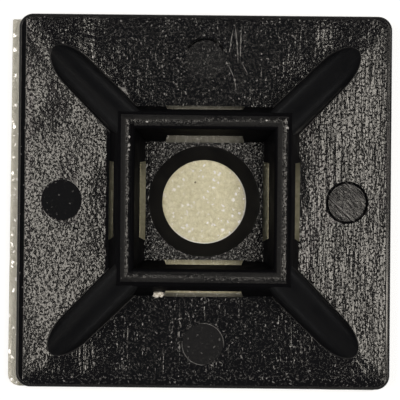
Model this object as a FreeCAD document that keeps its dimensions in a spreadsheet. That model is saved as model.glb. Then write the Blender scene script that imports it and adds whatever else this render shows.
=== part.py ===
import FreeCAD, Part
import os
import Sketcher
from FreeCAD import Vector
from math import cos, radians, sin, tan

# Adhesive-backed cable tie mount, sizes in millimetres.
# A nylon moulding (square plate, raised square frame with four tie windows, four sloping legs)
# sits on a square of double-sided foam tape, and the tape still has its release liner.
# The origin is on the axis of the screw hole, at the underside of the liner, with +Z up.

DRIVING_SIZES = [
    ("plate_side", 28.0, "side of the square plate"),
    ("plate_thickness", 1.3, "thickness of the plate"),
    ("plate_corner_radius", 1.05, "rounding of the plate's four corners in plan"),
    ("plate_rim_radius", 0.2, "rounding of the plate's upper rim"),
    ("moulding_height", 6.0, "plate underside to the top of the frame"),
    ("frame_width", 14.22, "outer width of the frame where it stands on the plate"),
    ("well_width", 8.9, "inner width of the frame at the floor of the well"),
    ("outer_draft", 8.6, "slope of the frame's outer faces, in degrees"),
    ("inner_draft", 9.3, "slope of the frame's inner faces, in degrees"),
    ("crown_radius", 0.42, "rounding of both upper edges of the frame"),
    ("window_length", 5.92, "length of a tie window at the top of the plate"),
    ("window_height", 2.2, "free height under a bridge, above the plate"),
    ("window_draft", 4.0, "narrowing of a tie window upwards, in degrees"),
    ("window_margin", 0.05, "a window reaches this far past both faces of its wall"),
    ("leg_crest_radius", 1.21, "radius of a leg's rounded back"),
    ("leg_draft", 2.2, "slope of a leg's sides, in degrees"),
    ("leg_tip_inset", 3.6, "leg tip to the plate's sharp corner, along the diagonal"),
    ("leg_root_inset", 0.9, "leg crest to the frame's upper corner, along the diagonal"),
    ("foot_radius", 0.15, "inner rounding where the legs stand on the plate"),
    ("screw_bore", 6.3, "diameter of the screw hole"),
    ("screw_head", 8.32, "diameter of the countersink at the floor of the well"),
    ("screw_head_angle", 90.0, "full angle of the countersink, in degrees"),
    ("pin_mark_diameter", 3.06, "diameter of a shallow ejector pin mark"),
    ("pin_mark_depth", 0.08, "depth of an ejector pin mark"),
    ("pin_mark_shift", 0.15, "pin mark to the middle of the border, outwards"),
    ("tape_trim", 0.4, "the tape's side is this much under the plate's"),
    ("tape_thickness", 1.0, "thickness of the foam tape"),
    ("tape_shift_x", -0.8, "the tape's centre from the plate's, along X"),
    ("tape_shift_y", -0.2, "the tape's centre from the plate's, along Y"),
    ("tape_skew", -0.2, "turn of the tape against the plate, in degrees"),
    ("tape_corner_radius", 0.12, "rounding of three of the tape's corners"),
    ("tape_cut_corner_radius", 0.9, "rounding of the tape's lower left corner"),
    ("liner_thickness", 0.1, "thickness of the release liner"),
]
SIZE = {name: value for name, value, note in DRIVING_SIZES}

QUARTER_TURNS = 4
START, END, CENTRE = range(1, 4)
ORIGIN_POINT, X_AXIS = (-1, 1), -1
NEAR = 1e-4
CROWN_SHARE = 0.45

document = FreeCAD.newDocument("cable_tie_mount")


def fill_sheet():
    """Writes the driving sizes into the spreadsheet, one row each."""
    sheet = document.addObject("Spreadsheet::Sheet", "sizes")
    for row, (name, value, note) in enumerate(DRIVING_SIZES, start=1):
        sheet.set(f"A{row}", name)
        sheet.set(f"B{row}", str(value))
        sheet.setAlias(f"B{row}", name)
        sheet.set(f"C{row}", note)
    document.recompute()


def bind(item, expressions):
    """Ties properties of an object to the spreadsheet."""
    for path, text in expressions.items():
        item.setExpression(path, text)


def new_body(name):
    """Starts a body whose label is the name of its node."""
    body = document.addObject("PartDesign::Body", name)
    body.Label = name
    return body


def origin_feature(body, role):
    """Finds one of the body's own origin planes or axes."""
    return next(item for item in body.Origin.OriginFeatures if item.Role == role)


def flat_sketch(body, name, height="0"):
    """Starts a sketch parallel to the body's XY plane, at a height given as an expression."""
    sketch = body.newObject("Sketcher::SketchObject", name)
    sketch.AttachmentSupport = [(origin_feature(body, "XY_Plane"), "")]
    sketch.MapMode = "FlatFace"
    bind(sketch, {"AttachmentOffset.Base.z": height})
    return sketch


def constrain(sketch, name, expression, *terms):
    """Adds one named dimension and ties it to the spreadsheet."""
    index = sketch.addConstraint(Sketcher.Constraint(*terms))
    sketch.renameConstraint(index, name)
    sketch.setExpression("Constraints." + name, expression)


def closed_outline(sketch, corners):
    """Draws straight lines from corner to corner and joins their ends."""
    count = len(corners)
    for index in range(count):
        ends = Vector(*corners[index]), Vector(*corners[(index + 1) % count])
        sketch.addGeometry(Part.LineSegment(*ends), False)
    for index in range(count):
        following = (index + 1) % count
        sketch.addConstraint(Sketcher.Constraint("Coincident", index, END, following, START))


def centred_square(sketch, width, side):
    """Draws a square about the origin, its side tied to an expression."""
    half = width / 2
    closed_outline(sketch, [(-half, -half), (half, -half), (half, half), (-half, half)])
    for index in (0, 2):
        sketch.addConstraint(Sketcher.Constraint("Horizontal", index))
    for index in (1, 3):
        sketch.addConstraint(Sketcher.Constraint("Vertical", index))
    sketch.addConstraint(Sketcher.Constraint("Symmetric", 0, START, 1, END, *ORIGIN_POINT))
    sketch.addConstraint(Sketcher.Constraint("Equal", 0, 1))
    constrain(sketch, "side", side, "DistanceX", 0, START, 0, END, width)


def pad(body, name, sketch, length):
    """Raises a sketch along its normal."""
    feature = body.newObject("PartDesign::Pad", name)
    feature.Profile = sketch
    bind(feature, {"Length": length})
    document.recompute()
    return feature


def pocket_up(body, name, sketch, length=None, taper="0"):
    """Cuts upwards from a sketch, by a length or through everything above it."""
    feature = body.newObject("PartDesign::Pocket", name)
    feature.Profile = sketch
    feature.Reversed = True
    if length is None:
        feature.Type = "ThroughAll"
    else:
        bind(feature, {"Length": length, "TaperAngle": taper})
    document.recompute()
    return feature


def pocket_down(body, name, sketch, length=None):
    """Cuts downwards from a sketch, by a length or through everything below it."""
    feature = body.newObject("PartDesign::Pocket", name)
    feature.Profile = sketch
    if length is None:
        feature.Type = "ThroughAll"
    else:
        bind(feature, {"Length": length})
    document.recompute()
    return feature


def repeat_round_axis(body, name, feature):
    """Repeats a feature in quarter turns about the screw hole's axis."""
    pattern = body.newObject("PartDesign::PolarPattern", name)
    pattern.Originals = [feature]
    pattern.Axis = (origin_feature(body, "Z_Axis"), [""])
    pattern.Angle = 360
    pattern.Occurrences = QUARTER_TURNS
    body.Tip = pattern
    document.recompute()
    return pattern


def round_edges(body, name, base, radius, wanted):
    """Fillets the edges of the base feature that the test picks."""
    picked = [f"Edge{index}" for index, edge in enumerate(base.Shape.Edges, start=1) if wanted(edge)]
    if not picked:
        raise RuntimeError(f"{name}: no edge to round")
    feature = body.newObject("PartDesign::Fillet", name)
    feature.Base = (base, picked)
    bind(feature, {"Radius": radius})
    document.recompute()
    return feature


def lies_level(edge, height):
    """Says whether the whole edge lies at one height."""
    box = edge.BoundBox
    return abs(box.ZMin - height) < NEAR and abs(box.ZMax - height) < NEAR


def slope_walls(body, name, base, angle, half):
    """Tilts the four upright walls at one distance from the axis, hinged at the plate's top."""
    def is_wall(face):
        box = face.BoundBox
        upright = box.ZLength > NEAR and min(box.XLength, box.YLength) < NEAR
        return upright and abs(max(abs(box.Center.x), abs(box.Center.y)) - half) < NEAR

    walls = [f"Face{index}" for index, face in enumerate(base.Shape.Faces, start=1) if is_wall(face)]
    feature = body.newObject("PartDesign::Draft", name)
    feature.Base = (base, walls)
    feature.NeutralPlane = (document.getObject("plate_top"), [""])
    bind(feature, {"Angle": angle})
    document.recompute()
    return feature


def stands_upright(edge):
    """Says whether the edge is a straight vertical one."""
    box = edge.BoundBox
    return box.XLength < NEAR and box.YLength < NEAR and box.ZLength > NEAR


def add_plate(body):
    """The square plate, with rounded corners and a rounded upper rim."""
    outline = flat_sketch(body, "plate_outline")
    centred_square(outline, SIZE["plate_side"], "sizes.plate_side")
    slab = pad(body, "plate_slab", outline, "sizes.plate_thickness")
    corners = round_edges(body, "plate_corners", slab, "sizes.plate_corner_radius", stands_upright)
    top = SIZE["plate_thickness"]
    round_edges(body, "plate_rim", corners, "sizes.plate_rim_radius", lambda edge: lies_level(edge, top))


def add_parting_level(body):
    """The plane of the plate's top, at which the frame and the well have their stated widths."""
    level = body.newObject("PartDesign::Plane", "plate_top")
    level.AttachmentSupport = [(origin_feature(body, "XY_Plane"), "")]
    level.MapMode = "FlatFace"
    bind(level, {"AttachmentOffset.Base.z": "sizes.plate_thickness"})


def crown_radius():
    """The rounding of the frame's upper edges, as far as its wall leaves room for two of them."""
    rise = "(sizes.moulding_height - sizes.plate_thickness)"
    foot = "(sizes.frame_width - sizes.well_width) / 2"
    wall = f"({foot} - {rise} * (tan(sizes.outer_draft) + tan(sizes.inner_draft)))"
    return f"min(sizes.crown_radius; {CROWN_SHARE} * {wall})"


def add_frame_block(body):
    """The drafted block that becomes the frame once its well and windows are cut."""
    outline = flat_sketch(body, "frame_outline", "sizes.plate_thickness")
    centred_square(outline, SIZE["frame_width"], "sizes.frame_width")
    block = pad(body, "frame_block", outline, "sizes.moulding_height - sizes.plate_thickness")
    slopes = slope_walls(body, "frame_slopes", block, "sizes.outer_draft", SIZE["frame_width"] / 2)
    top = SIZE["moulding_height"]
    round_edges(body, "crown_outside", slopes, crown_radius(), lambda edge: lies_level(edge, top))


def add_legs(body):
    """Four round-backed legs that slope from the frame's upper corners down into the plate."""
    rise = "(sizes.moulding_height - sizes.plate_thickness)"
    crown_half = f"(sizes.frame_width / 2 - {rise} * tan(sizes.outer_draft))"
    root = f"({crown_half} * sqrt(2) - sizes.leg_root_inset)"
    tip = "(sizes.plate_side / sqrt(2) - sizes.leg_tip_inset)"
    slope = f"atan({rise} / ({tip} - {root}))"
    run_in = "(2 * sizes.leg_crest_radius)"
    start_out = f"({root} - {run_in} * cos({slope})) / sqrt(2)"
    start_up = f"sizes.moulding_height + {run_in} * sin({slope})"

    section = body.newObject("Sketcher::SketchObject", "leg_section")
    section.AttachmentSupport = [(origin_feature(body, "XY_Plane"), "")]
    section.MapMode = "FlatFace"
    place = f"placement(vector({start_out}; {start_out}; {start_up}); rotation(45 deg; 90 deg + {slope}; 0 deg))"
    bind(section, {"AttachmentOffset": place})

    # In the section's own plane X runs down from the crest and Y runs across the leg.
    radius = SIZE["leg_crest_radius"]
    lean = radians(SIZE["leg_draft"])
    depth = SIZE["moulding_height"]
    shoulder = (radius - radius * sin(lean), radius * cos(lean))
    foot = shoulder[1] + (depth - shoulder[0]) * tan(lean)
    circle = Part.Circle(Vector(radius, 0, 0), Vector(0, 0, 1), radius)
    quarter = radians(90)
    section.addGeometry(Part.ArcOfCircle(circle, quarter + lean, 3 * quarter - lean), False)
    corners = [(shoulder[0], -shoulder[1]), (depth, -foot), (depth, foot), shoulder]
    for first, second in zip(corners, corners[1:]):
        section.addGeometry(Part.LineSegment(Vector(*first), Vector(*second)), False)
    back, left, base, right = range(4)
    section.addConstraint([
        Sketcher.Constraint("Tangent", back, END, left, START),
        Sketcher.Constraint("Coincident", left, END, base, START),
        Sketcher.Constraint("Coincident", base, END, right, START),
        Sketcher.Constraint("Tangent", right, END, back, START),
        Sketcher.Constraint("Symmetric", base, START, base, END, X_AXIS),
        Sketcher.Constraint("PointOnObject", back, CENTRE, X_AXIS),
    ])
    constrain(section, "crest", "sizes.leg_crest_radius", "Radius", back, radius)
    constrain(section, "drop", "sizes.leg_crest_radius", "DistanceX", *ORIGIN_POINT, back, CENTRE, radius)
    constrain(section, "depth", "sizes.moulding_height", "DistanceX", *ORIGIN_POINT, base, START, depth)
    constrain(section, "lean", "180 - sizes.leg_draft", "Angle", right, START, X_AXIS, START,
              radians(180) - lean)
    document.recompute()

    reach = f"{run_in} + ({rise} + sizes.plate_thickness / 2) / sin({slope})"
    leg = pad(body, "leg", section, reach)
    repeat_round_axis(body, "legs", leg)


def trim_legs(body):
    """Ends the legs level with the frame's top and with the plate's underside."""
    above = flat_sketch(body, "above_the_frame", "sizes.moulding_height")
    centred_square(above, SIZE["plate_side"], "sizes.plate_side")
    pocket_up(body, "level_top", above)
    below = flat_sketch(body, "below_the_plate")
    centred_square(below, 2 * SIZE["plate_side"], "2 * sizes.plate_side")
    pocket_down(body, "level_underside", below)


def add_well(body):
    """The drafted square well inside the frame, with its rounded upper edge."""
    outline = flat_sketch(body, "well_outline", "sizes.plate_thickness")
    centred_square(outline, SIZE["well_width"], "sizes.well_width")
    well = pocket_up(body, "well", outline, "sizes.moulding_height - sizes.plate_thickness")
    slopes = slope_walls(body, "well_slopes", well, "sizes.inner_draft", SIZE["well_width"] / 2)

    top = SIZE["moulding_height"]
    climb = (top - SIZE["plate_thickness"]) * tan(radians(SIZE["inner_draft"]))
    half = SIZE["well_width"] / 2 + climb

    def on_inner_edge(edge):
        box = edge.BoundBox
        reach = max(abs(box.XMin), abs(box.XMax), abs(box.YMin), abs(box.YMax))
        return lies_level(edge, top) and abs(reach - half) < NEAR

    round_edges(body, "crown_inside", slopes, crown_radius(), on_inner_edge)


def add_windows(body):
    """Four tie windows, open through the plate and under the frame's four bridges."""
    spread = "sizes.plate_thickness * tan(sizes.window_draft)"
    inner = f"sizes.well_width / 2 - sizes.window_margin - {spread}"
    outer = f"sizes.frame_width / 2 + sizes.window_margin + {spread}"
    length = f"sizes.window_length + 2 * {spread}"

    near = SIZE["well_width"] / 2
    far = SIZE["frame_width"] / 2
    half = SIZE["window_length"] / 2
    outline = flat_sketch(body, "window_outline")
    closed_outline(outline, [(near, -half), (far, -half), (far, half), (near, half)])
    for index in (0, 2):
        outline.addConstraint(Sketcher.Constraint("Horizontal", index))
    outline.addConstraint(Sketcher.Constraint("Vertical", 3))
    outline.addConstraint(Sketcher.Constraint("Symmetric", 1, START, 1, END, X_AXIS))
    constrain(outline, "inner", inner, "DistanceX", *ORIGIN_POINT, 0, START, near)
    constrain(outline, "outer", outer, "DistanceX", *ORIGIN_POINT, 0, END, far)
    constrain(outline, "length", length, "DistanceY", 1, START, 1, END, 2 * half)
    height = "sizes.plate_thickness + sizes.window_height"
    window = pocket_up(body, "window", outline, height, "-sizes.window_draft")
    repeat_round_axis(body, "windows", window)


def add_screw_hole(body):
    """The countersunk screw hole in the middle of the well's floor."""
    radius = SIZE["screw_bore"] / 2
    bore = flat_sketch(body, "bore_outline")
    bore.addGeometry(Part.Circle(Vector(0, 0, 0), Vector(0, 0, 1), radius), False)
    bore.addConstraint(Sketcher.Constraint("Coincident", 0, CENTRE, *ORIGIN_POINT))
    constrain(bore, "radius", "sizes.screw_bore / 2", "Radius", 0, radius)
    pocket_up(body, "screw_bore", bore, "sizes.plate_thickness")

    head_radius = SIZE["screw_head"] / 2
    top = SIZE["plate_thickness"]
    apex = top - head_radius / tan(radians(SIZE["screw_head_angle"] / 2))
    cone = body.newObject("Sketcher::SketchObject", "countersink_section")
    cone.AttachmentSupport = [(origin_feature(body, "XZ_Plane"), "")]
    cone.MapMode = "FlatFace"
    closed_outline(cone, [(0, top), (0, apex), (head_radius, top)])
    cone.addConstraint([
        Sketcher.Constraint("Vertical", 0),
        Sketcher.Constraint("Horizontal", 2),
        Sketcher.Constraint("Vertical", *ORIGIN_POINT, 0, START),
    ])
    constrain(cone, "top", "sizes.plate_thickness", "DistanceY", *ORIGIN_POINT, 0, START, top)
    constrain(cone, "head", "sizes.screw_head / 2", "DistanceX", 0, START, 1, END, head_radius)
    depth = "sizes.screw_head / 2 / tan(sizes.screw_head_angle / 2)"
    constrain(cone, "depth", depth, "DistanceY", 0, END, 0, START, top - apex)
    groove = body.newObject("PartDesign::Groove", "countersink")
    groove.Profile = cone
    groove.ReferenceAxis = (cone, ["V_Axis"])
    groove.Angle = 360
    document.recompute()


def add_pin_marks(body):
    """The shallow round ejector pin marks in the middle of the plate's four borders."""
    middle = "(sizes.plate_side / 2 + sizes.frame_width / 2) / 2 + sizes.pin_mark_shift"
    reach = (SIZE["plate_side"] + SIZE["frame_width"]) / 4 + SIZE["pin_mark_shift"]
    radius = SIZE["pin_mark_diameter"] / 2
    outline = flat_sketch(body, "pin_mark_outline", "sizes.plate_thickness")
    outline.addGeometry(Part.Circle(Vector(reach, 0, 0), Vector(0, 0, 1), radius), False)
    outline.addConstraint(Sketcher.Constraint("PointOnObject", 0, CENTRE, X_AXIS))
    constrain(outline, "radius", "sizes.pin_mark_diameter / 2", "Radius", 0, radius)
    constrain(outline, "reach", middle, "DistanceX", *ORIGIN_POINT, 0, CENTRE, reach)
    mark = pocket_down(body, "pin_mark", outline, "sizes.pin_mark_depth")
    return repeat_round_axis(body, "pin_marks", mark)


def round_feet(body, base):
    """A small inner rounding where the four legs stand on the plate."""
    top = SIZE["plate_thickness"]
    beside_window = SIZE["window_length"] / 2 + NEAR
    outside_frame = SIZE["frame_width"] / 2 + SIZE["window_margin"] + NEAR
    inside_rim = SIZE["plate_side"] / 2 - SIZE["plate_rim_radius"] - NEAR

    def at_a_leg(edge):
        middle = edge.valueAt((edge.FirstParameter + edge.LastParameter) / 2)
        low, high = sorted((abs(middle.x), abs(middle.y)))
        return lies_level(edge, top) and low > beside_window and outside_frame < high < inside_rim

    round_edges(body, "feet", base, "sizes.foot_radius", at_a_leg)


def make_moulding():
    """The one-piece nylon moulding, drawn from the plate's underside and then set on the tape."""
    body = new_body("mount_body")
    add_plate(body)
    add_parting_level(body)
    add_frame_block(body)
    add_legs(body)
    trim_legs(body)
    add_well(body)
    add_windows(body)
    add_screw_hole(body)
    marks = add_pin_marks(body)
    round_feet(body, marks)
    bind(body, {"Placement.Base.z": "sizes.liner_thickness + sizes.tape_thickness"})
    document.recompute()
    return body


def make_layer(name, thickness, height):
    """One square layer of the adhesive backing, set a little off the plate's middle."""
    body = new_body(name)
    outline = flat_sketch(body, name + "_outline")
    side = SIZE["plate_side"] - SIZE["tape_trim"]
    centred_square(outline, side, "sizes.plate_side - sizes.tape_trim")
    sheet = pad(body, name + "_sheet", outline, thickness)

    def at_cut_corner(edge):
        return stands_upright(edge) and edge.BoundBox.XMax < 0 and edge.BoundBox.YMax < 0

    def at_other_corner(edge):
        return stands_upright(edge) and (edge.BoundBox.XMax > 0 or edge.BoundBox.YMax > 0)

    cut = round_edges(body, name + "_cut_corner", sheet, "sizes.tape_cut_corner_radius", at_cut_corner)
    round_edges(body, name + "_corners", cut, "sizes.tape_corner_radius", at_other_corner)
    turn = "rotation(sizes.tape_skew; 0; 0)"
    shift = f"vector(sizes.tape_shift_x; sizes.tape_shift_y; {height})"
    bind(body, {"Placement": f"placement({shift}; {turn})"})
    document.recompute()
    return body


def check_and_write(bodies):
    """Stops on any failed feature or unsound solid, then writes one file for each body."""
    for item in document.Objects:
        if "Invalid" in item.State or "Error" in item.State:
            raise RuntimeError(f"{item.Name} failed: {item.State}")
    for body in bodies:
        if body.Shape.isNull() or not body.Shape.isValid() or len(body.Shape.Solids) != 1:
            raise RuntimeError(f"{body.Label} isn't one sound solid")
    os.makedirs("parts", exist_ok=True)
    for body in bodies:
        body.Shape.exportStep(f"parts/{body.Label}.step")
        box = body.Shape.BoundBox
        print(body.Label, f"{body.Shape.Volume:.2f} mm3", f"z {box.ZMin:.2f} to {box.ZMax:.2f}")


fill_sheet()
check_and_write([
    make_moulding(),
    make_layer("foam_tape", "sizes.tape_thickness", "sizes.liner_thickness"),
    make_layer("release_liner", "sizes.liner_thickness", "0"),
])
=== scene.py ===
from math import cos, hypot, pi, radians, sin, tan

import bmesh
import bpy
from mathutils import Matrix, Vector, noise


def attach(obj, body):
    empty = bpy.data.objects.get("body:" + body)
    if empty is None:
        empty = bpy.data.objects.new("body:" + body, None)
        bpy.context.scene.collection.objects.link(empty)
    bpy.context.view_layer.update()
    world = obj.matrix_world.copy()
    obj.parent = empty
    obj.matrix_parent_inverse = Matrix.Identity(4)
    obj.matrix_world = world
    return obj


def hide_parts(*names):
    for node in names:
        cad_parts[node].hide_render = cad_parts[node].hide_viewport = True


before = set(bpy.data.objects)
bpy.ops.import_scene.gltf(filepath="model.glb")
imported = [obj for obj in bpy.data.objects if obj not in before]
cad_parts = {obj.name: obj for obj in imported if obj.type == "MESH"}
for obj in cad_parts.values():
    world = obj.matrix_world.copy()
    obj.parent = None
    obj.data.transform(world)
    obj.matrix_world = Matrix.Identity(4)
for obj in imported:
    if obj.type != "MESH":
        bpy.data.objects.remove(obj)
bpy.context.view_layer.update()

MM = 0.001

# The moulding, in millimetres
PLATE_HALF = 14.0
PLATE_TOP = 2.4
FRAME_TOP = 7.1
FRAME_FOOT_HALF = 7.11
OUTER_DRAFT = radians(8.6)
CROWN_DEPTH = 0.035
WELL_HALF = 4.45
PIN_MARK_REACH = 10.705
PIN_MARK_DEPTH = 0.08
FOOT_RISE = 0.12
BORE_RADIUS = 3.15

# The adhesive backing, in millimetres
TAPE_SIDE = 27.6
TAPE_CENTRE = (-0.8, -0.2)
TAPE_SKEW = radians(-0.2)
TAPE_CORNER = 0.12
TAPE_CUT_CORNER = 0.9
TAPE_EDGE = 0.04
TAPE_TOP = 1.1
LINER_EDGE = 0.01
LINER_TOP = 0.1

# The photograph's frame, in its own pixels
PHOTO_SIDE = 400
PIXELS_PER_MM = 13.34
PLATE_CENTRE_PX = (204.2, 201.3)

# The camera: its distance and its sensor in millimetres, its lean and its turn, and the nearest
# that it sees in metres
VIEW_DISTANCE = 400.0
SENSOR_MM = 36.0
VIEW_LEAN = radians(2.1)
SCREEN_TURN = radians(0.55)
SCREEN_RIGHT = Vector((cos(SCREEN_TURN), sin(SCREEN_TURN), 0))
SCREEN_UP = Vector((-sin(SCREEN_TURN), cos(SCREEN_TURN), 0))
SKYWARD = Vector((0, 0, 1))
NEAR_CLIP = 0.01


def seen_at(across_px, down_px, height=PLATE_TOP):
    """The point at that height, in millimetres, that a pixel of the photograph shows."""
    right = (across_px - PLATE_CENTRE_PX[0]) / PIXELS_PER_MM
    up = (PLATE_CENTRE_PX[1] - down_px) / PIXELS_PER_MM - (height - PLATE_TOP) * tan(VIEW_LEAN)
    return (SCREEN_RIGHT * right + SCREEN_UP * up).to_2d()


class Nodes:
    """A node tree, with short calls that add nodes and join them."""

    def __init__(self, tree):
        self.tree = tree

    def add(self, kind, inputs=None, **settings):
        """Adds a node, sets its properties and fills its inputs."""
        node = self.tree.nodes.new(kind)
        for name, value in settings.items():
            setattr(node, name, value)
        self.fill(node, inputs or {})
        return node

    def fill(self, node, inputs):
        """Joins each named input of a node to an output, or sets its plain value."""
        for name, value in inputs.items():
            if isinstance(value, bpy.types.NodeSocket):
                self.tree.links.new(value, node.inputs[name])
            else:
                node.inputs[name].default_value = value

    def math(self, operation, *terms):
        """One step of arithmetic."""
        inputs = dict(enumerate(terms))
        return self.add("ShaderNodeMath", inputs, operation=operation).outputs[0]

    def vectors(self, operation, *terms):
        """One step of arithmetic on vectors."""
        inputs = dict(enumerate(terms))
        return self.add("ShaderNodeVectorMath", inputs, operation=operation).outputs["Vector"]

    def fold(self, operation, terms):
        """Takes any number of terms together, two by two."""
        result = terms[0]
        for term in terms[1:]:
            result = self.math(operation, result, term)
        return result

    def total(self, *terms):
        """Adds any number of terms."""
        return self.fold("ADD", terms)

    def product(self, *terms):
        """Multiplies any number of terms."""
        return self.fold("MULTIPLY", terms)

    def highest(self, *terms):
        """The highest of any number of terms."""
        return self.fold("MAXIMUM", terms)

    def rest(self, mask):
        """What a mask leaves out."""
        return self.math("SUBTRACT", 1.0, mask)

    def span(self, value, low, high, to_low=0.0, to_high=1.0, kind="SMOOTHSTEP"):
        """Maps a value from one range to another and clamps it."""
        inputs = {"Value": value, "From Min": low, "From Max": high,
                  "To Min": to_low, "To Max": to_high}
        return self.add("ShaderNodeMapRange", inputs, interpolation_type=kind).outputs["Result"]

    def rise(self, value, low, high):
        """A mask that is 0 up to the low value and 1 from the high value."""
        return self.span(value, low, high)

    def fall(self, value, low, high):
        """A mask that is 1 up to the low value and 0 from the high value."""
        return self.span(value, low, high, 1.0, 0.0)

    def blend(self, factor, first, second):
        """Mixes two numbers."""
        inputs = {0: factor, 2: first, 3: second}
        return self.add("ShaderNodeMix", inputs, data_type="FLOAT").outputs[0]

    def tint(self, factor, first, second):
        """Mixes two colours."""
        inputs = {0: factor, 6: first, 7: second}
        return self.add("ShaderNodeMix", inputs, data_type="RGBA").outputs[2]

    def millimetres(self, stretch=(1.0, 1.0, 1.0), turn=0.0):
        """The piece's own coordinates in millimetres, turned about Z and then stretched."""
        place = self.add("ShaderNodeTexCoord").outputs["Object"]
        inputs = {"Vector": place, "Scale": (1 / MM,) * 3, "Rotation": (0, 0, turn)}
        place = self.add("ShaderNodeMapping", inputs).outputs["Vector"]
        if stretch == (1.0, 1.0, 1.0):
            return place
        inputs = {"Vector": place, "Scale": stretch}
        return self.add("ShaderNodeMapping", inputs).outputs["Vector"]

    def axes(self, vector):
        """The X, Y and Z of a vector."""
        return self.add("ShaderNodeSeparateXYZ", {"Vector": vector}).outputs

    def speckle(self, where, scale, detail=2.0, roughness=0.5, distortion=0.0):
        """A cloudy random value about 0.5."""
        inputs = {"Vector": where, "Scale": scale, "Detail": detail, "Roughness": roughness,
                  "Distortion": distortion}
        return self.add("ShaderNodeTexNoise", inputs).outputs["Fac"]

    def oval(self, where, centre, half_size, turn=0.0):
        """Distance from a point in plan, where 1 is the border of an oval about it."""
        inputs = {"Vector": where, "Location": (*centre, 0), "Rotation": (0, 0, turn),
                  "Scale": (*half_size, 0)}
        offset = self.add("ShaderNodeMapping", inputs, vector_type="TEXTURE").outputs["Vector"]
        return self.add("ShaderNodeVectorMath", {0: offset}, operation="LENGTH").outputs["Value"]

    def line(self, where, start, end, half_width):
        """A mask along a straight line that thins out at both ends."""
        run = end - start
        turn = Vector((1, 0)).angle_signed(run) * -1
        reach = self.oval(where, (start + end) / 2, (run.length / 2, half_width), turn)
        return self.fall(reach, 0.3, 1.0)


def new_group(name, inputs, outputs):
    """Starts a shader node group with float sockets of those names and default values."""
    tree = bpy.data.node_groups.new(name, "ShaderNodeTree")
    for label, value in inputs.items():
        socket = tree.interface.new_socket(label, in_out="INPUT", socket_type="NodeSocketFloat")
        socket.default_value = value
    for label in outputs:
        tree.interface.new_socket(label, in_out="OUTPUT", socket_type="NodeSocketFloat")
    nodes = Nodes(tree)
    return nodes, nodes.add("NodeGroupInput").outputs, nodes.add("NodeGroupOutput")


def placed_group(nodes, tree, **values):
    """Puts a group into a material with its own values."""
    inputs = {label.replace("_", " "): value for label, value in values.items()}
    return nodes.add("ShaderNodeGroup", inputs, node_tree=tree).outputs


def new_material(name):
    """Starts a material and hands back its nodes and its main shader."""
    material = bpy.data.materials.new(name)
    material.use_nodes = True
    material.node_tree.nodes.clear()
    nodes = Nodes(material.node_tree)
    shader = nodes.add("ShaderNodeBsdfPrincipled")
    nodes.add("ShaderNodeOutputMaterial", {"Surface": shader.outputs[0]})
    return material, nodes, shader


def raise_surface(nodes, shader, height, unit=MM):
    """Joins a height to a material as relief, in millimetres unless another unit is given."""
    bump = nodes.add("ShaderNodeBump", {"Height": height, "Distance": unit, "Strength": 1.0})
    nodes.fill(shader, {"Normal": bump.outputs["Normal"]})


def add_object(name, data):
    """Puts an object with that data into the scene."""
    item = bpy.data.objects.new(name, data)
    bpy.context.scene.collection.objects.link(item)
    return item


def finished_mesh(name, shape):
    """Turns a shape into a mesh and frees it."""
    mesh = bpy.data.meshes.new(name)
    shape.to_mesh(mesh)
    shape.free()
    return mesh


def smooth_mesh(name, shape):
    """Turns a shape in millimetres into a smooth mesh in metres."""
    bmesh.ops.scale(shape, verts=shape.verts, vec=(MM, MM, MM))
    for face in shape.faces:
        face.smooth = True
    return finished_mesh(name, shape)


def make_camera():
    """Looks straight down, leaning and turned a little as the photograph does."""
    across = (PHOTO_SIDE / 2 - PLATE_CENTRE_PX[0]) / PIXELS_PER_MM
    upward = (PLATE_CENTRE_PX[1] - PHOTO_SIDE / 2) / PIXELS_PER_MM
    target = SKYWARD * PLATE_TOP + SCREEN_RIGHT * across + SCREEN_UP * upward
    backward = SKYWARD * cos(VIEW_LEAN) - SCREEN_UP * sin(VIEW_LEAN)
    up = SCREEN_UP * cos(VIEW_LEAN) + SKYWARD * sin(VIEW_LEAN)
    place = (target + backward * VIEW_DISTANCE) * MM
    turn = Matrix((SCREEN_RIGHT, up, backward)).transposed().to_4x4()

    data = bpy.data.cameras.new("camera")
    data.sensor_width = SENSOR_MM
    data.lens = SENSOR_MM * VIEW_DISTANCE * PIXELS_PER_MM / PHOTO_SIDE
    data.clip_start = NEAR_CLIP
    camera = add_object("camera", data)
    camera.matrix_world = Matrix.Translation(place) @ turn
    bpy.context.scene.camera = camera


# The lamps, in metres, and the room's dim light
LAMP_HEIGHT = 0.60
LAMP_HALF_DEPTH = radians(14)
LAMP_COLOUR = (1.0, 0.94, 0.84)
FILL_HEIGHT = 0.42
FILL_SIZE = (0.5, 0.35)
ROOM_COLOUR = (0.92, 0.98, 1.12, 1.0)
ROOM_RADIANCE = 0.04

# Name, angles from the vertical at which its two long edges are seen, and radiance
SOFTBOXES = [
    ("softbox_left", radians(-23), radians(-13), 8.4),
    ("softbox_right", radians(14), radians(34), 9.0),
]

# Low fills that shine in under the bridges: name, place in plan in metres, and radiance
FILLS = [
    ("fill_left", (-0.52, 0.06), 2.2),
    ("fill_back", (0.10, 0.52), 0.5),
    ("fill_front", (0.10, -0.52), 0.9),
]


def add_lamp(name, size, radiance, place, facing):
    """One rectangular softbox of even radiance."""
    data = bpy.data.lights.new(name, "AREA")
    data.shape = "RECTANGLE"
    data.size, data.size_y = size
    data.color = LAMP_COLOUR
    data.energy = radiance * pi * data.size * data.size_y
    add_object(name, data).matrix_world = Matrix.Translation(place) @ facing


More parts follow.
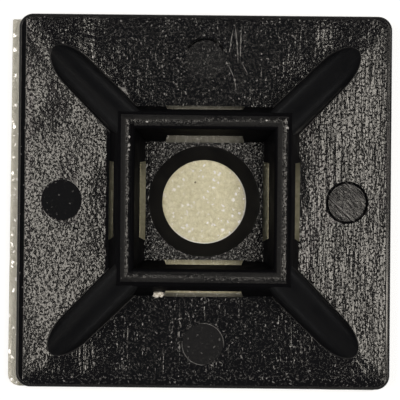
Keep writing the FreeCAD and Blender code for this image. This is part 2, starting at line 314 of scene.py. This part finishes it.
def make_lamps():
    """Two warm softboxes with a dark gap between them, left and right of the camera, and fills."""
    depth = 2 * LAMP_HEIGHT * tan(LAMP_HALF_DEPTH)
    for name, first, last, radiance in SOFTBOXES:
        near, far = LAMP_HEIGHT * tan(first), LAMP_HEIGHT * tan(last)
        place = Vector(((near + far) / 2, 0, LAMP_HEIGHT))
        add_lamp(name, (far - near, depth), radiance, place, Matrix())
    for name, plan, radiance in FILLS:
        place = Vector((*plan, FILL_HEIGHT))
        facing = place.to_track_quat("Z", "Y").to_matrix().to_4x4()
        add_lamp(name, FILL_SIZE, radiance, place, facing)

    world = bpy.data.worlds.new("room")
    world.use_nodes = True
    background = world.node_tree.nodes["Background"]
    background.inputs["Color"].default_value = ROOM_COLOUR
    background.inputs["Strength"].default_value = ROOM_RADIANCE
    bpy.context.scene.world = world


# The floor: half its side in metres, its gap under the liner in millimetres, and its colours
FLOOR_HALF = 1.5
FLOOR_GAP = 0.01
FLOOR_GREY = (0.4, 0.4, 0.4, 1.0)
FLOOR_GLOW = (0.78, 0.78, 0.78, 1.0)
NO_GLOW = (0.0, 0.0, 0.0, 1.0)


def make_floor():
    """A plain white floor that keeps the object's shadow and can be looked through from below."""
    shape = bmesh.new()
    bmesh.ops.create_grid(shape, x_segments=1, y_segments=1, size=FLOOR_HALF)
    mesh = finished_mesh("floor", shape)
    floor = add_object("floor", mesh)
    floor.location.z = -FLOOR_GAP * MM

    material, nodes, shader = new_material("white_floor")
    path = nodes.add("ShaderNodeLightPath").outputs
    seen = nodes.highest(path["Is Camera Ray"], path["Is Glossy Ray"], path["Is Transmission Ray"])
    below = nodes.add("ShaderNodeNewGeometry").outputs["Backfacing"]
    nodes.fill(shader, {
        "Base Color": FLOOR_GREY,
        "Roughness": 0.9,
        "Specular IOR Level": 0.0,
        "Emission Color": nodes.tint(seen, NO_GLOW, FLOOR_GLOW),
        "Emission Strength": 1.0,
        "Alpha": nodes.rest(below),
    })
    mesh.materials.append(material)


# How squarely the lines of equal height turn the plate's corners
LEAN_POWER = 8.0


def plate_lean_group():
    """Height of a plate that sinks towards its four sides, in millimetres."""
    nodes, given, out = new_group("plate_lean", {"Slope": 0.05}, ["Height"])
    place = nodes.axes(nodes.millimetres())
    powers = [nodes.math("POWER", nodes.math("ABSOLUTE", place[axis]), LEAN_POWER)
              for axis in ("X", "Y")]
    reach = nodes.math("POWER", nodes.total(*powers), 1 / LEAN_POWER)
    nodes.fill(out, {"Height": nodes.product(reach, given["Slope"], -1.0)})
    return nodes.tree


def grain_group():
    """Moulded grain: shallow bumps with small sharp pits among them, and upright streaks."""
    defaults = {"Bumps": 0.03, "Pits": 0.25, "Pit Share": 0.45, "Streaks": 0.0}
    nodes, given, out = new_group("moulded_grain", defaults, ["Height", "Pits"])
    even, drawn = nodes.millimetres(), nodes.millimetres((1.0, 0.12, 1.0))
    cells = nodes.speckle(even, 5.4, 2.0, 0.6, 0.3)
    sunk = nodes.highest(nodes.math("SUBTRACT", given["Pit Share"], cells), 0.0)
    bumps = nodes.product(nodes.speckle(even, 3.2, 2.0, 0.6), given["Bumps"])
    lines = nodes.product(nodes.speckle(drawn, 2.6, 3.0, 0.6), given["Streaks"])
    pits = nodes.product(sunk, given["Pits"])
    nodes.fill(out, {
        "Height": nodes.math("SUBTRACT", nodes.total(bumps, lines), pits),
        "Pits": nodes.rise(sunk, 0.0, 0.04),
    })
    return nodes.tree


# The groove at the border of an ejector pin mark, in millimetres
GROOVE_RADIUS = 1.5
GROOVE_HALF = 0.1
GROOVE_DEPTH = 0.16


def pin_mark_group():
    """Distance from the middle of the nearest ejector pin mark, and the groove round two of them."""
    nodes, _, out = new_group("pin_mark", {}, ["Away", "Groove"])
    place = nodes.axes(nodes.millimetres())
    distances = []
    for first, second in (("X", "Y"), ("Y", "X")):
        outward = nodes.math("SUBTRACT", nodes.math("ABSOLUTE", place[first]), PIN_MARK_REACH)
        squares = [nodes.product(offset, offset) for offset in (outward, place[second])]
        distances.append(nodes.math("SQRT", nodes.total(*squares)))
    away = nodes.math("MINIMUM", *distances)
    on_right = nodes.rise(place["X"], 8.0, 9.0)
    behind = nodes.rise(place["Y"], PIN_MARK_REACH + 0.4, PIN_MARK_REACH + 1.1)
    aside = nodes.math("ABSOLUTE", nodes.math("SUBTRACT", away, GROOVE_RADIUS))
    groove = nodes.span(aside, 0.0, GROOVE_HALF, GROOVE_DEPTH, 0.0, "LINEAR")
    nodes.fill(out, {
        "Away": away,
        "Groove": nodes.product(groove, nodes.highest(on_right, behind)),
    })
    return nodes.tree


# How far a speck's outline strays, in millimetres
STRAY = 0.35


# Pale specks: dust and burr in part, and in part painted glints on the grain and on the foam
def dust_and_glint_group():
    """Sparse bright specks, uneven in outline, parts of a millimetre wide."""
    nodes, given, out = new_group("dust_and_glints", {"Share": 0.1, "Size": 0.12, "Scale": 3.0}, ["Specks"])
    where = nodes.millimetres()
    cloud = nodes.add("ShaderNodeTexNoise", {"Vector": where, "Scale": 4.0, "Detail": 1.0})
    stray = nodes.vectors("MULTIPLY", cloud.outputs["Color"], (STRAY,) * 3)
    where = nodes.vectors("ADD", where, stray)
    cells = nodes.add("ShaderNodeTexVoronoi", {"Vector": where, "Scale": given["Scale"]})
    chosen = nodes.axes(cells.outputs["Color"])
    size = nodes.product(given["Size"], nodes.span(chosen["Y"], 0.0, 1.0, 0.5, 1.2, "LINEAR"))
    disc = nodes.fall(cells.outputs["Distance"], nodes.product(size, 0.4), size)
    rare = nodes.math("LESS_THAN", chosen["X"], given["Share"])
    nodes.fill(out, {"Specks": nodes.product(disc, rare)})
    return nodes.tree


NYLON = (0.0052, 0.0052, 0.0062, 1.0)
# Painted shade: the legs and the frame's walls get a darker black than the rest of the same nylon
LEG_SHADE_BLACK = (0.004, 0.0043, 0.0055, 1.0)
WALL_SHADE_BLACK = (0.004, 0.004, 0.005, 1.0)
# Pale grey for dust, burr and scratches, and for painted highlights and glints
PALE_DUST_AND_HIGHLIGHT = (0.40, 0.395, 0.40, 1.0)
NYLON_IOR = 1.53

# Roughness of the grain's faces, of those in the front and back zones, and of the pits
GLOSS = 0.15
DULL_ZONE_GLOSS = 0.07
PIT_ROUGHNESS = 0.26


def nylon_material(name):
    """Black nylon without its finish."""
    material, nodes, shader = new_material(name)
    nodes.fill(shader, {"Base Color": NYLON, "IOR": NYLON_IOR})
    return material, nodes, shader


def finish_nylon(nodes, shader, height, roughness, specks=None):
    """Joins a height in millimetres, a roughness and pale specks to a nylon material."""
    raise_surface(nodes, shader, height)
    nodes.fill(shader, {"Roughness": roughness})
    if specks is not None:
        nodes.fill(shader, {"Base Color": nodes.tint(specks, NYLON, PALE_DUST_AND_HIGHLIGHT)})


def plain_nylon(name, colour, shine, lumps, lump_height, roughness_range):
    """Ungrained nylon with shallow lumps of a given scale and detail and a cloudy roughness."""
    material, nodes, shader = nylon_material(name)
    nodes.fill(shader, {"Base Color": colour, "Specular IOR Level": shine})
    where = nodes.millimetres()
    height = nodes.product(nodes.speckle(where, *lumps), lump_height)
    roughness = nodes.span(nodes.speckle(where, 0.8), 0.3, 0.7, *roughness_range)
    finish_nylon(nodes, shader, height, roughness)
    return material


# Scratches at the back of the plate: two ends in the photograph's pixels and half a width in
# millimetres
SCRATCHES = [
    ((234.7, 18), (238, 54), 0.05),
    ((237.3, 42), (238.2, 66), 0.05),
    ((241.4, 24), (240.0, 68), 0.05),
    ((233.6, 26), (229.0, 54), 0.035),
    ((239.5, 58), (249, 76), 0.035),
    ((228, 63), (235, 80), 0.035),
    ((233, 74), (237, 92), 0.03),
    ((215, 56), (213, 66), 0.03),
    ((262, 66), (261, 78), 0.03),
]
SCRATCH_HEIGHT = 0.008
SCRATCH_PALENESS = 0.45

# Painted highlights along the foot of the back left leg, and a pale patch where it meets the frame:
# two ends in the photograph's pixels, half a width in millimetres, and strength
FOOT_HIGHLIGHTS_AND_PATCH = [
    ((73.5, 45.0), (101.5, 68.2), 0.04, 0.25),
    ((99.0, 65.6), (113.0, 80.2), 0.06, 0.4),
    ((117.6, 84.6), (130.6, 96.4), 0.1, 0.9),
    ((121.0, 86.6), (127.5, 92.8), 0.2, 1.0),
]

# The plate's slope towards its sides and the height of its wide waves, in millimetres
PLATE_SLOPE = 0.09
WAVE_HEIGHT = 0.24

# Where the steep left rim ends, and where the steep band by the frame begins and how wide it is
LEFT_RIM = -13.48
BAND_START = -7.42
BAND_RISE = 0.4


def scratch_mask(nodes, where):
    """The scratches at the back of the plate, fainter here and there."""
    marks = [nodes.line(where, seen_at(*start), seen_at(*end), width)
             for start, end, width in SCRATCHES]
    broken = nodes.span(nodes.speckle(where, 1.7, 2.0), 0.36, 0.54, 0.25, 1.0)
    return nodes.product(nodes.highest(*marks), broken)


def foot_highlight_and_patch_masks(nodes, where):
    """The painted highlights along the foot of the back left leg, and the pale patch where it meets
    the frame.
    """
    return [nodes.product(nodes.line(where, seen_at(*start), seen_at(*end), width), strength)
            for start, end, width, strength in FOOT_HIGHLIGHTS_AND_PATCH]


def mark_rim_highlight_mask(nodes, place, away):
    """A painted highlight on the rim of the front ejector pin mark, at its lower left and its upper
    right.
    """
    diagonal = nodes.total(place["X"], place["Y"], PIN_MARK_REACH)
    return nodes.product(nodes.rise(away, 1.50, 1.54), nodes.fall(away, 1.56, 1.61),
                         nodes.fall(place["Y"], -9.0, -8.0),
                         nodes.span(nodes.math("ABSOLUTE", diagonal), 1.2, 1.8, 0.0, 0.3))


def band_mask(nodes, where, place, along):
    """The black band with a ragged edge along the frame's left foot."""
    ragged = nodes.span(nodes.speckle(where, 1.6, 3.0), 0.0, 1.0, -0.25, 0.25, "LINEAR")
    return nodes.product(nodes.rise(nodes.total(place["X"], ragged), BAND_START, BAND_START + 0.1),
                         nodes.fall(place["X"], -7.0, -6.9),
                         nodes.fall(along, 5.4, 5.6))


def grained_mask(nodes, place, band):
    """Where the plate is grained: inside its four rims and outside the black band."""
    return nodes.product(nodes.rise(place["X"], -13.5, -13.42),
                         nodes.fall(place["X"], 13.62, 13.7),
                         nodes.fall(place["Y"], 13.7, 13.78),
                         nodes.rise(place["Y"], -13.6, -12.7),
                         nodes.rest(band))


def corner_lean(nodes, place, across):
    """Height that lets three of the plate's corners lean less, so that they mirror less light."""
    front_left = nodes.product(nodes.span(place["Y"], -13.0, -9.0, 0.03, 0.0),
                               nodes.fall(place["X"], -1.0, 1.0))
    back = nodes.span(place["Y"], 9.2, 12.4, 0.0, 0.038)
    slope = nodes.product(nodes.highest(front_left, back), nodes.rise(across, 8.0, 10.0))
    return nodes.product(slope, nodes.math("SUBTRACT", across, 12.5))


def plate_nylon(groups):
    """The plate's grained border, with black bands at its left rim and the frame's left foot."""
    material, nodes, shader = nylon_material("plate_nylon")
    where = nodes.millimetres()
    place = nodes.axes(where)
    across, along = nodes.math("ABSOLUTE", place["X"]), nodes.math("ABSOLUTE", place["Y"])
    sideways = nodes.rise(nodes.math("SUBTRACT", across, along), -1.0, 1.0)
    rightward = nodes.product(sideways, nodes.rise(place["X"], 6.0, 9.0))
    frontward = nodes.product(nodes.fall(sideways, 0.0, 1.0), nodes.fall(place["Y"], -8.0, -6.0))

    streaks = nodes.highest(nodes.product(rightward, 0.06),
                            nodes.span(sideways, 0.0, 1.0, 0.035, 0.0))
    grain = placed_group(nodes, groups["grain"], Pits=0.3, Streaks=streaks,
                         Bumps=nodes.blend(frontward, 0.036, 0.022),
                         Pit_Share=nodes.blend(frontward, 0.46, 0.43))
    mark = placed_group(nodes, groups["pin_mark"])
    scratched = scratch_mask(nodes, where)
    band = band_mask(nodes, where, place, along)
    rim_rise = nodes.span(place["X"], -PLATE_HALF, LEFT_RIM, -PLATE_HALF - LEFT_RIM, 0.0, "LINEAR")
    band_rise = nodes.span(place["X"], BAND_START, BAND_START + BAND_RISE, 0.0, BAND_RISE, "LINEAR")
    height = nodes.total(
        placed_group(nodes, groups["lean"], Slope=PLATE_SLOPE)["Height"],
        nodes.product(grain["Height"], grained_mask(nodes, place, band)),
        rim_rise,
        nodes.product(band_rise, band),
        nodes.product(mark["Groove"], -1.0),
        nodes.product(nodes.speckle(where, 0.22, 1.0), WAVE_HEIGHT),
        corner_lean(nodes, place, across),
        nodes.product(scratched, SCRATCH_HEIGHT),
    )

    gloss = nodes.blend(sideways, DULL_ZONE_GLOSS, GLOSS)
    # Pale specks, more of them in the dark front and back zones: dust in part, painted glints in
    # part
    dust_and_glint_share = nodes.blend(sideways, 0.45, 0.15)
    dust_and_glints = placed_group(nodes, groups["dust_and_glints"], Share=dust_and_glint_share, Size=0.27)["Specks"]
    specks = nodes.highest(
        nodes.product(dust_and_glints, nodes.blend(sideways, 0.55, 0.45)),
        nodes.product(scratched, SCRATCH_PALENESS),
        mark_rim_highlight_mask(nodes, place, mark["Away"]),
        *foot_highlight_and_patch_masks(nodes, where),
    )
    roughness = nodes.blend(grain["Pits"], gloss, PIT_ROUGHNESS)
    finish_nylon(nodes, shader, height, roughness, specks)
    return material


def well_nylon(groups):
    """The well's grained floor, with more bright specks than the plate."""
    material, nodes, shader = nylon_material("well_nylon")
    grain = placed_group(nodes, groups["grain"], Bumps=0.1, Pits=0.3, Pit_Share=0.48, Streaks=0.0)
    roughness = nodes.blend(grain["Pits"], GLOSS, PIT_ROUGHNESS)
    # Pale specks: dust in part, painted glints in part
    dust_and_glints = placed_group(nodes, groups["dust_and_glints"], Share=0.4, Size=0.2)["Specks"]
    finish_nylon(nodes, shader, grain["Height"], roughness, nodes.product(dust_and_glints, 0.7))
    return material


# The floors of the ejector pin marks: tilt, share of the grain, roughness and scratches
PIN_MARKS = {
    "left": (0.0, 0.055, 0.12, 0.0),
    "right": (0.085, 0.25, 0.15, 0.14),
    "top": (0.0, 1.0, 0.17, 0.0),
    "bottom": (0.0, 0.06, 0.19, 0.0),
}


def pin_mark_nylon(name, groups, tilt, grain_share, roughness, scratches):
    """The floor of an ejector pin mark: its tilt, its grain and its diagonal scratches."""
    material, nodes, shader = nylon_material(name)
    place = nodes.axes(nodes.millimetres())
    grain = placed_group(nodes, groups["grain"], Bumps=0.04, Pits=0.25, Pit_Share=0.44,
                         Streaks=0.01)
    groove = placed_group(nodes, groups["pin_mark"])["Groove"]
    drawn = nodes.speckle(nodes.millimetres((0.14, 2.6, 1.0), radians(41)), 1.6, 3.0, 0.65)
    height = nodes.total(
        nodes.product(place["X"], -tilt),
        nodes.product(grain["Height"], grain_share),
        nodes.product(groove, -1.0),
        nodes.product(drawn, scratches),
    )
    rough = nodes.blend(nodes.product(grain["Pits"], grain_share), roughness, PIT_ROUGHNESS)
    pale = nodes.product(nodes.rise(drawn, 0.54, 0.66), 2.4 * scratches)
    dust_and_glints = placed_group(nodes, groups["dust_and_glints"], Share=0.4, Size=0.34)["Specks"]
    finish_nylon(nodes, shader, height, rough, nodes.highest(pale, nodes.product(dust_and_glints, 0.22)))
    return material


# The middle of the frame's crown, how sharply it rounds there and on its left bar, and where its
# left and front bars begin, in millimetres
FRAME_MIDDLE = 5.81
CROWN_ROUNDING = 0.9
LEFT_ROUNDING = 0.42
BARS_BEGIN = (-5.4, -5.2)
FRAME_SHINE = 0.28

# Painted glints on the frame's top: the photograph's pixel, and half a size in millimetres
GLINTS = [
    ((130.0, 137.5), (0.10, 0.12)),
    ((130.0, 145.6), (0.09, 0.16)),
    ((129.8, 150.2), (0.09, 0.10)),
    ((286.6, 128.6), (0.13, 0.12)),
    ((288.8, 119.3), (0.08, 0.19)),
    ((147.4, 122.4), (0.12, 0.07)),
    ((265.8, 121.2), (0.11, 0.08)),
]


def frame_nylon(groups):
    """The frame's rounded top, with soft, shiny lumps, pale specks and a few painted glints."""
    material, nodes, shader = nylon_material("frame_nylon")
    nodes.fill(shader, {"Specular IOR Level": FRAME_SHINE})
    where = nodes.millimetres()
    place = nodes.axes(where)
    reach = nodes.highest(nodes.math("ABSOLUTE", place["X"]), nodes.math("ABSOLUTE", place["Y"]))
    aside = nodes.math("SUBTRACT", reach, FRAME_MIDDLE)
    curve = nodes.span(place["X"], *BARS_BEGIN, -0.5 / LEFT_ROUNDING, -0.5 / CROWN_ROUNDING)
    rounding = nodes.product(aside, aside, curve)
    lump_height = nodes.span(place["Y"], *BARS_BEGIN, 0.13, 0.1)
    lumps = nodes.product(nodes.speckle(where, 2.6, 2.0, 0.55), lump_height)

    shine = nodes.span(nodes.speckle(where, 0.5, 2.0), 0.4, 0.62, 0.2, 0.3)
    rightward = nodes.product(aside, nodes.math("SIGN", place["X"]))
    roughness = nodes.blend(nodes.fall(rightward, -0.12, -0.02), shine, 0.7)
    dust_and_glints = placed_group(nodes, groups["dust_and_glints"], Share=0.3, Size=0.16)["Specks"]
    # Painted highlight: small white glints painted into the base colour of the frame's top
    painted_frame_glints = [nodes.fall(nodes.oval(where, seen_at(*at, FRAME_TOP), size), 0.5, 1.0)
             for at, size in GLINTS]
    specks = nodes.highest(nodes.product(dust_and_glints, 0.35), *painted_frame_glints)
    finish_nylon(nodes, shader, nodes.total(rounding, lumps), roughness, specks)
    return material


# How level a face is, how near to a height, and the margins of the well and the walls
LEVEL = 0.9999
NEAR = 0.01
WELL_MARGIN = 0.1
WALL_MARGIN = 0.05

# The moulding's mesh: distance under which points are one, in millimetres, and its sharp angle
WELD = 0.0005
SHARP_ANGLE = radians(34)


def finish_for(face, slots):
    """Picks the material of one face of the moulding, by its height and its slope."""
    middle = face.calc_center_median() / MM
    across, along = abs(middle.x), abs(middle.y)
    reach = max(across, along)
    if face.normal.z > LEVEL:
        if abs(middle.z - PLATE_TOP) < NEAR:
            return slots["well" if reach < WELL_HALF + WELL_MARGIN else "plate"]
        if abs(middle.z - PLATE_TOP + PIN_MARK_DEPTH) < NEAR:
            if across > along:
                return slots["mark_right" if middle.x > 0 else "mark_left"]
            return slots["mark_top" if middle.y > 0 else "mark_bottom"]
        return slots["frame"]
    if middle.z > FRAME_TOP - CROWN_DEPTH:
        return slots["frame"]
    if middle.z < PLATE_TOP + FOOT_RISE:
        return slots["satin"]
    wall_reach = FRAME_FOOT_HALF - (middle.z - PLATE_TOP) * tan(OUTER_DRAFT)
    return slots["wall" if reach < wall_reach + WALL_MARGIN else "leg"]


def moulding_materials(groups):
    """The moulding's finishes by name; satin is for its rims, leg feet, countersink and windows."""
    materials = {
        "satin": plain_nylon("satin_nylon", NYLON, 0.25, (1.4, 3.0), 0.012, (0.28, 0.4)),
        "frame": frame_nylon(groups),
        "leg": plain_nylon("leg_nylon", LEG_SHADE_BLACK, 0.1, (2.2, 4.0, 0.6), 0.03, (0.4, 0.55)),
        "wall": plain_nylon("wall_nylon", WALL_SHADE_BLACK, 0.01, (1.6, 3.0, 0.6), 0.02, (0.45, 0.55)),
        "plate": plate_nylon(groups),
        "well": well_nylon(groups),
    }
    for side, values in PIN_MARKS.items():
        materials["mark_" + side] = pin_mark_nylon("pin_mark_" + side, groups, *values)
    return materials


def make_moulding(groups):
    """The nylon moulding, as the CAD has it, with its finishes face by face."""
    shape = bmesh.new()
    shape.from_mesh(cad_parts["mount_body"].data)
    bmesh.ops.remove_doubles(shape, verts=shape.verts, dist=WELD * MM)
    materials = moulding_materials(groups)
    slots = {name: index for index, name in enumerate(materials)}
    for face in shape.faces:
        face.material_index = finish_for(face, slots)
        face.smooth = abs(face.normal.z) < LEVEL
    mesh = finished_mesh("moulding", shape)
    mesh.attributes.remove(mesh.attributes["custom_normal"])
    for material in materials.values():
        mesh.materials.append(material)
    mesh.set_sharp_from_angle(angle=SHARP_ANGLE)
    piece = add_object("moulding", mesh)
    evener = piece.modifiers.new("level_faces_first", "WEIGHTED_NORMAL")
    evener.weight = 100
    evener.keep_sharp = True
    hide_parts("mount_body")
    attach(piece, "root")


# The foam's own colours, then those of its bare edge, the painted highlight at the hole's lip, the
# painted shade in the far slits, the white of painted glints on the adhesive, and a dark spot
FOAM_DEEP = (0.76, 0.72, 0.51, 1.0)
FOAM_PALE = (0.94, 0.91, 0.71, 1.0)
FOAM_FLECK = (0.64, 0.60, 0.40, 1.0)
FOAM_BARE = (0.64, 0.635, 0.60, 1.0)
FOAM_PAINTED_HIGHLIGHT = (0.92, 0.91, 0.88, 1.0)
FOAM_PAINTED_SHADE = (0.18, 0.178, 0.17, 1.0)
PAINTED_GLINT_WHITE = (1.0, 0.98, 1.0, 1.0)
SPOT = (0.08, 0.06, 0.02, 1.0)

# The dark spot, in the photograph's pixels, and half its size in millimetres
SPOT_AT = (195.3, 182.3)
SPOT_HALF = 0.1


def foam_colour(nodes, where, place, radius, outside):
    """Cream foam: greyer where it is bare, with a painted highlight at the hole's lip and painted
    shade in the far slits.
    """
    cloud = nodes.tint(nodes.speckle(where, 0.7, 2.0), FOAM_DEEP, FOAM_PALE)
    flecks = nodes.span(nodes.speckle(where, 3.4, 3.0, 0.7), 0.3, 0.7, kind="LINEAR")
    colour = nodes.tint(flecks, FOAM_FLECK, cloud)
    colour = nodes.tint(nodes.product(outside, 0.8), colour, FOAM_BARE)
    # Painted highlight: a pale rim along the right and front of the hole's lip, where the lip
    # catches the light
    lip = nodes.product(nodes.rise(radius, BORE_RADIUS - 0.16, BORE_RADIUS - 0.04),
                        nodes.fall(radius, 3.3, 3.4),
                        nodes.rise(nodes.math("SUBTRACT", place["X"], place["Y"]), -1.5, 1.5))
    colour = nodes.tint(nodes.product(lip, 0.85), colour, FOAM_PAINTED_HIGHLIGHT)
    # Painted shade: the foam in the far back and far front slits, under the bridges, is painted dark
    # grey
    painted_shade_back = nodes.product(nodes.rise(place["Y"], 4.2, 4.3), 0.85)
    painted_shade_front = nodes.product(nodes.fall(place["Y"], -6.9, -6.8), 0.8)
    painted_shade = nodes.product(nodes.highest(painted_shade_back, painted_shade_front), nodes.rest(outside))
    return nodes.tint(painted_shade, colour, FOAM_PAINTED_SHADE)


def painted_glint_mask(nodes, groups, where, place, radius, outside, on_top):
    """Painted glints on the adhesive, gathered in the hole, mostly at its right, and along the bare
    edge.
    """
    gathered = nodes.product(nodes.span(nodes.speckle(where, 0.7, 2.0), 0.4, 0.55, 0.25, 1.0),
                             nodes.span(place["X"], -3.0, 0.5, 0.6, 1.0))
    in_hole = nodes.fall(radius, BORE_RADIUS, 3.3)
    painted_foam_glints = placed_group(nodes, groups["dust_and_glints"], Share=0.5, Size=0.45, Scale=2.6)["Specks"]
    return nodes.product(painted_foam_glints, nodes.highest(gathered, outside), on_top,
                         nodes.highest(outside, in_hole))


def foam_material(groups):
    """Cream foam tape under a clear, wrinkled film of adhesive, with white glints painted into its
    colour.
    """
    material, nodes, shader = new_material("cream_foam")
    where = nodes.millimetres()
    place = nodes.axes(where)
    radius = nodes.oval(where, (0, 0), (1, 1))
    outside = nodes.fall(place["X"], -13.9, -13.7)
    on_top = nodes.rise(place["Z"], TAPE_TOP - 0.06, TAPE_TOP - 0.02)
    painted_foam_glints = painted_glint_mask(nodes, groups, where, place, radius, outside, on_top)
    spot = nodes.oval(where, seen_at(*SPOT_AT, TAPE_TOP), (SPOT_HALF, SPOT_HALF))
    colour = foam_colour(nodes, where, place, radius, outside)
    # Painted highlight: the glint spots are painted white into the base colour, and the same spots
    # get a shiny coat
    colour = nodes.tint(painted_foam_glints, colour, PAINTED_GLINT_WHITE)
    colour = nodes.tint(nodes.span(spot, 0.5, 1.0, 0.8, 0.0), colour, SPOT)
    nodes.fill(shader, {
        "Base Color": colour,
        "Roughness": nodes.blend(on_top, 0.85, 0.13),
        "Coat Weight": painted_foam_glints,
        "Coat IOR": 4.2,
        "Coat Roughness": 0.3,
    })
    wrinkles = nodes.product(nodes.speckle(where, 2.4, 3.0, 0.6, 0.6), 0.13)
    pores = nodes.span(nodes.speckle(where, 5.0, 3.0, 0.6), 0.36, 0.44, -0.05, 0.0)
    raise_surface(nodes, shader, nodes.blend(on_top, pores, wrinkles))
    return material


PAPER_DARK = (0.72, 0.69, 0.62, 1.0)
PAPER_PALE = (0.82, 0.80, 0.74, 1.0)
FIBRE_HEIGHT = 0.012


def liner_material():
    """Siliconised paper: off-white, with faint fibres."""
    material, nodes, shader = new_material("liner_paper")
    fibres = nodes.speckle(nodes.millimetres((1.0, 2.0, 1.0), radians(20)), 3.0, 4.0, 0.65)
    nodes.fill(shader, {
        "Base Color": nodes.tint(fibres, PAPER_DARK, PAPER_PALE),
        "Roughness": nodes.span(fibres, 0.3, 0.7, 0.42, 0.6, "LINEAR"),
    })
    raise_surface(nodes, shader, fibres, FIBRE_HEIGHT * MM)
    return material


# The backing's cut sides: number of slices, depth of the long waves and of the fine unevenness in
# millimetres; then how far the foam swells in the screw hole, and its sharp angle
BACKING_SLICES = 54
CUT_WAVES = 0.03
CUT_FINE = 0.012
FOAM_SWELL = 0.07
BACKING_SHARP_ANGLE = radians(50)


def is_level(edge):
    """Whether an edge of a block lies level."""
    first, second = (vert.co for vert in edge.verts)
    return abs(first.z - second.z) < 1e-6


def is_front_left(edge):
    """Whether an edge of a block begins in its front left quarter."""
    return edge.verts[0].co.x < 0 and edge.verts[0].co.y < 0


def sliced_block(low, high, rounding):
    """A square block between two heights, its front left corner rounded off, sliced both ways."""
    shape = bmesh.new()
    bmesh.ops.create_cube(shape, size=1.0)
    bmesh.ops.scale(shape, verts=shape.verts, vec=(TAPE_SIDE, TAPE_SIDE, high - low))
    bmesh.ops.translate(shape, verts=shape.verts, vec=(0, 0, (low + high) / 2))
    for front_left, radius, segments in ((True, TAPE_CUT_CORNER, 8), (False, TAPE_CORNER, 3)):
        corners = [edge for edge in shape.edges
                   if not is_level(edge) and is_front_left(edge) == front_left]
        bmesh.ops.bevel(shape, geom=corners, offset=radius, segments=segments, profile=0.5,
                        affect="EDGES", material=-1)
    rims = [edge for edge in shape.edges if is_level(edge)]
    bmesh.ops.bevel(shape, geom=rims, offset=rounding, segments=2, profile=0.5,
                    affect="EDGES", material=-1)
    for axis in (Vector((1, 0, 0)), Vector((0, 1, 0))):
        for index in range(1, BACKING_SLICES):
            at = axis * (TAPE_SIDE * index / BACKING_SLICES - TAPE_SIDE / 2)
            geometry = shape.verts[:] + shape.edges[:] + shape.faces[:]
            bmesh.ops.bisect_plane(shape, geom=geometry, dist=1e-6, plane_co=at, plane_no=axis)
    return shape


def backing_layer(name, low, high, rounding, material):
    """One square layer of the backing, cut a little unevenly; the foam swells in the screw hole."""
    shape = sliced_block(low, high, rounding)
    turn = Matrix.Rotation(TAPE_SKEW, 3, "Z")
    for vert in shape.verts:
        if max(abs(vert.co.x), abs(vert.co.y)) > TAPE_SIDE / 2 - 1.5 * TAPE_CORNER:
            waves = CUT_WAVES * (0.5 + 0.5 * noise.noise(vert.co * 0.8))
            fine = CUT_FINE * (1 + noise.noise(vert.co * 3.0))
            vert.co.xy -= vert.co.xy.normalized() * (waves + fine)
        vert.co = turn @ vert.co + Vector((*TAPE_CENTRE, 0))
        inside = 1 - min(1.0, hypot(vert.co.x, vert.co.y) / (BORE_RADIUS - 0.1))
        if high == TAPE_TOP and vert.co.z > high - 1e-4:
            vert.co.z += FOAM_SWELL * min(1.0, 3 * inside)
    bmesh.ops.recalc_face_normals(shape, faces=shape.faces)
    mesh = smooth_mesh(name, shape)
    mesh.set_sharp_from_angle(angle=BACKING_SHARP_ANGLE)
    mesh.materials.append(material)
    piece = add_object(name, mesh)
    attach(piece, "root")
    return piece


# The crumb's two lobes: the photograph's pixel, and half a size in millimetres
CRUMB_LOBES = [
    ((156.4, 294.4), (0.26, 0.24, 0.26)),
    ((160.9, 293.8), (0.25, 0.22, 0.24)),
]
CRUMB_HEIGHT = PLATE_TOP + 1.6
CRUMB_DARK = (0.5, 0.46, 0.38, 1.0)
CRUMB_PALE = (0.95, 0.92, 0.86, 1.0)


def crumb_material():
    """Loose foam, paler where it catches the light."""
    material, nodes, shader = new_material("crumb_foam")
    cloud = nodes.rise(nodes.speckle(nodes.millimetres(), 6.0, 3.0), 0.35, 0.6)
    nodes.fill(shader, {"Base Color": nodes.tint(cloud, CRUMB_DARK, CRUMB_PALE), "Roughness": 0.6})
    return material


def make_crumb():
    """A pale crumb of two lobes that sticks to the frame beside its front window."""
    shape = bmesh.new()
    for centre, size in CRUMB_LOBES:
        lobe = bmesh.ops.create_icosphere(shape, subdivisions=3, radius=1.0)["verts"]
        for vert in lobe:
            vert.co *= 1 + 0.3 * noise.noise(vert.co * 1.7 + Vector((centre[0], 0, 0)))
        bmesh.ops.scale(shape, verts=lobe, vec=size)
        middle = seen_at(*centre, CRUMB_HEIGHT)
        bmesh.ops.translate(shape, verts=lobe, vec=(middle.x, middle.y, CRUMB_HEIGHT))
    mesh = smooth_mesh("crumb", shape)
    mesh.materials.append(crumb_material())
    piece = add_object("crumb", mesh)
    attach(piece, "root")


make_camera()
make_lamps()
make_floor()
GROUPS = {
    "lean": plate_lean_group(),
    "grain": grain_group(),
    "dust_and_glints": dust_and_glint_group(),
    "pin_mark": pin_mark_group(),
}
make_moulding(GROUPS)
pad = backing_layer("foam_pad", LINER_TOP, TAPE_TOP, TAPE_EDGE, foam_material(GROUPS))
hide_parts("foam_tape")
liner = backing_layer("paper_liner", 0.0, LINER_TOP, LINER_EDGE, liner_material())
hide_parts("release_liner")
make_crumb()
bpy.context.scene.view_settings.view_transform = "Standard"
